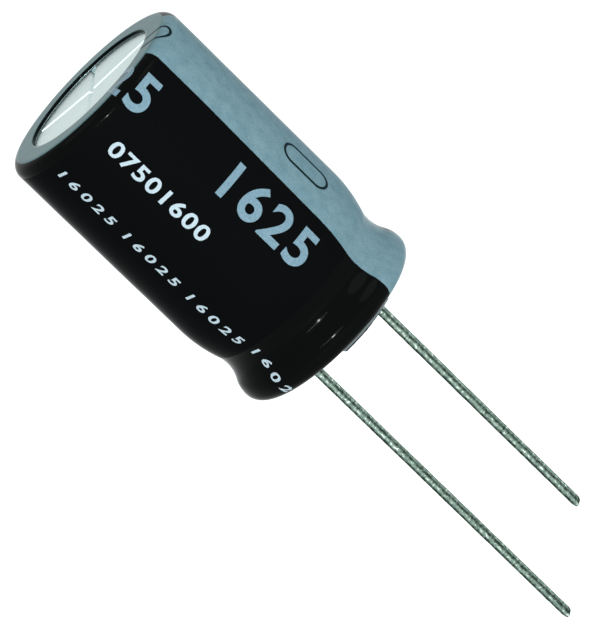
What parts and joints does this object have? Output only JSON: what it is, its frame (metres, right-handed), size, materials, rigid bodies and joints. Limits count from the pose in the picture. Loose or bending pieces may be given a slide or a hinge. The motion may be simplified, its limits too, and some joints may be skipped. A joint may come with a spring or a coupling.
{
  "type": "electrolytic capacitor",
  "caption": "Radial aluminium electrolytic capacitor: glossy black film sleeve with a grey stripe, scored vent in the closed end, rolled groove and two straight tinned leads.",
  "frame": {"origin": "midway between the leads on the seating plane under the can", "axes": "+Z along the can towards the vent, +X towards the negative lead and the stripe; the leads point along -Z"},
  "size_m": [0.0164, 0.0164, 0.0556],
  "materials": {
    "sleeve_film": "glossy black shrunk film with a printed grey stripe",
    "can_aluminium": "drawn, bright",
    "seal_rubber": "moulded, matt",
    "anode_aluminium": "etched, dull grey",
    "cathode_aluminium": "etched, satin",
    "separator_paper": "kraft paper, soaked",
    "closing_tape": "amber film tape",
    "tab_aluminium": "pressed, bright",
    "tinned_wire": "tinned, slightly mottled"
  },
  "bodies": {
    "root": {"sleeve": "sleeve_film", "can": "can_aluminium", "end_seal": "seal_rubber", "anode_foil": "anode_aluminium", "cathode_foil": "cathode_aluminium", "inner_separator": "separator_paper", "outer_separator": "separator_paper", "winding_tape": "closing_tape", "positive_tab": "tab_aluminium", "negative_tab": "tab_aluminium", "positive_lead": "tinned_wire", "negative_lead": "tinned_wire"}
  },
  "joints": []
}
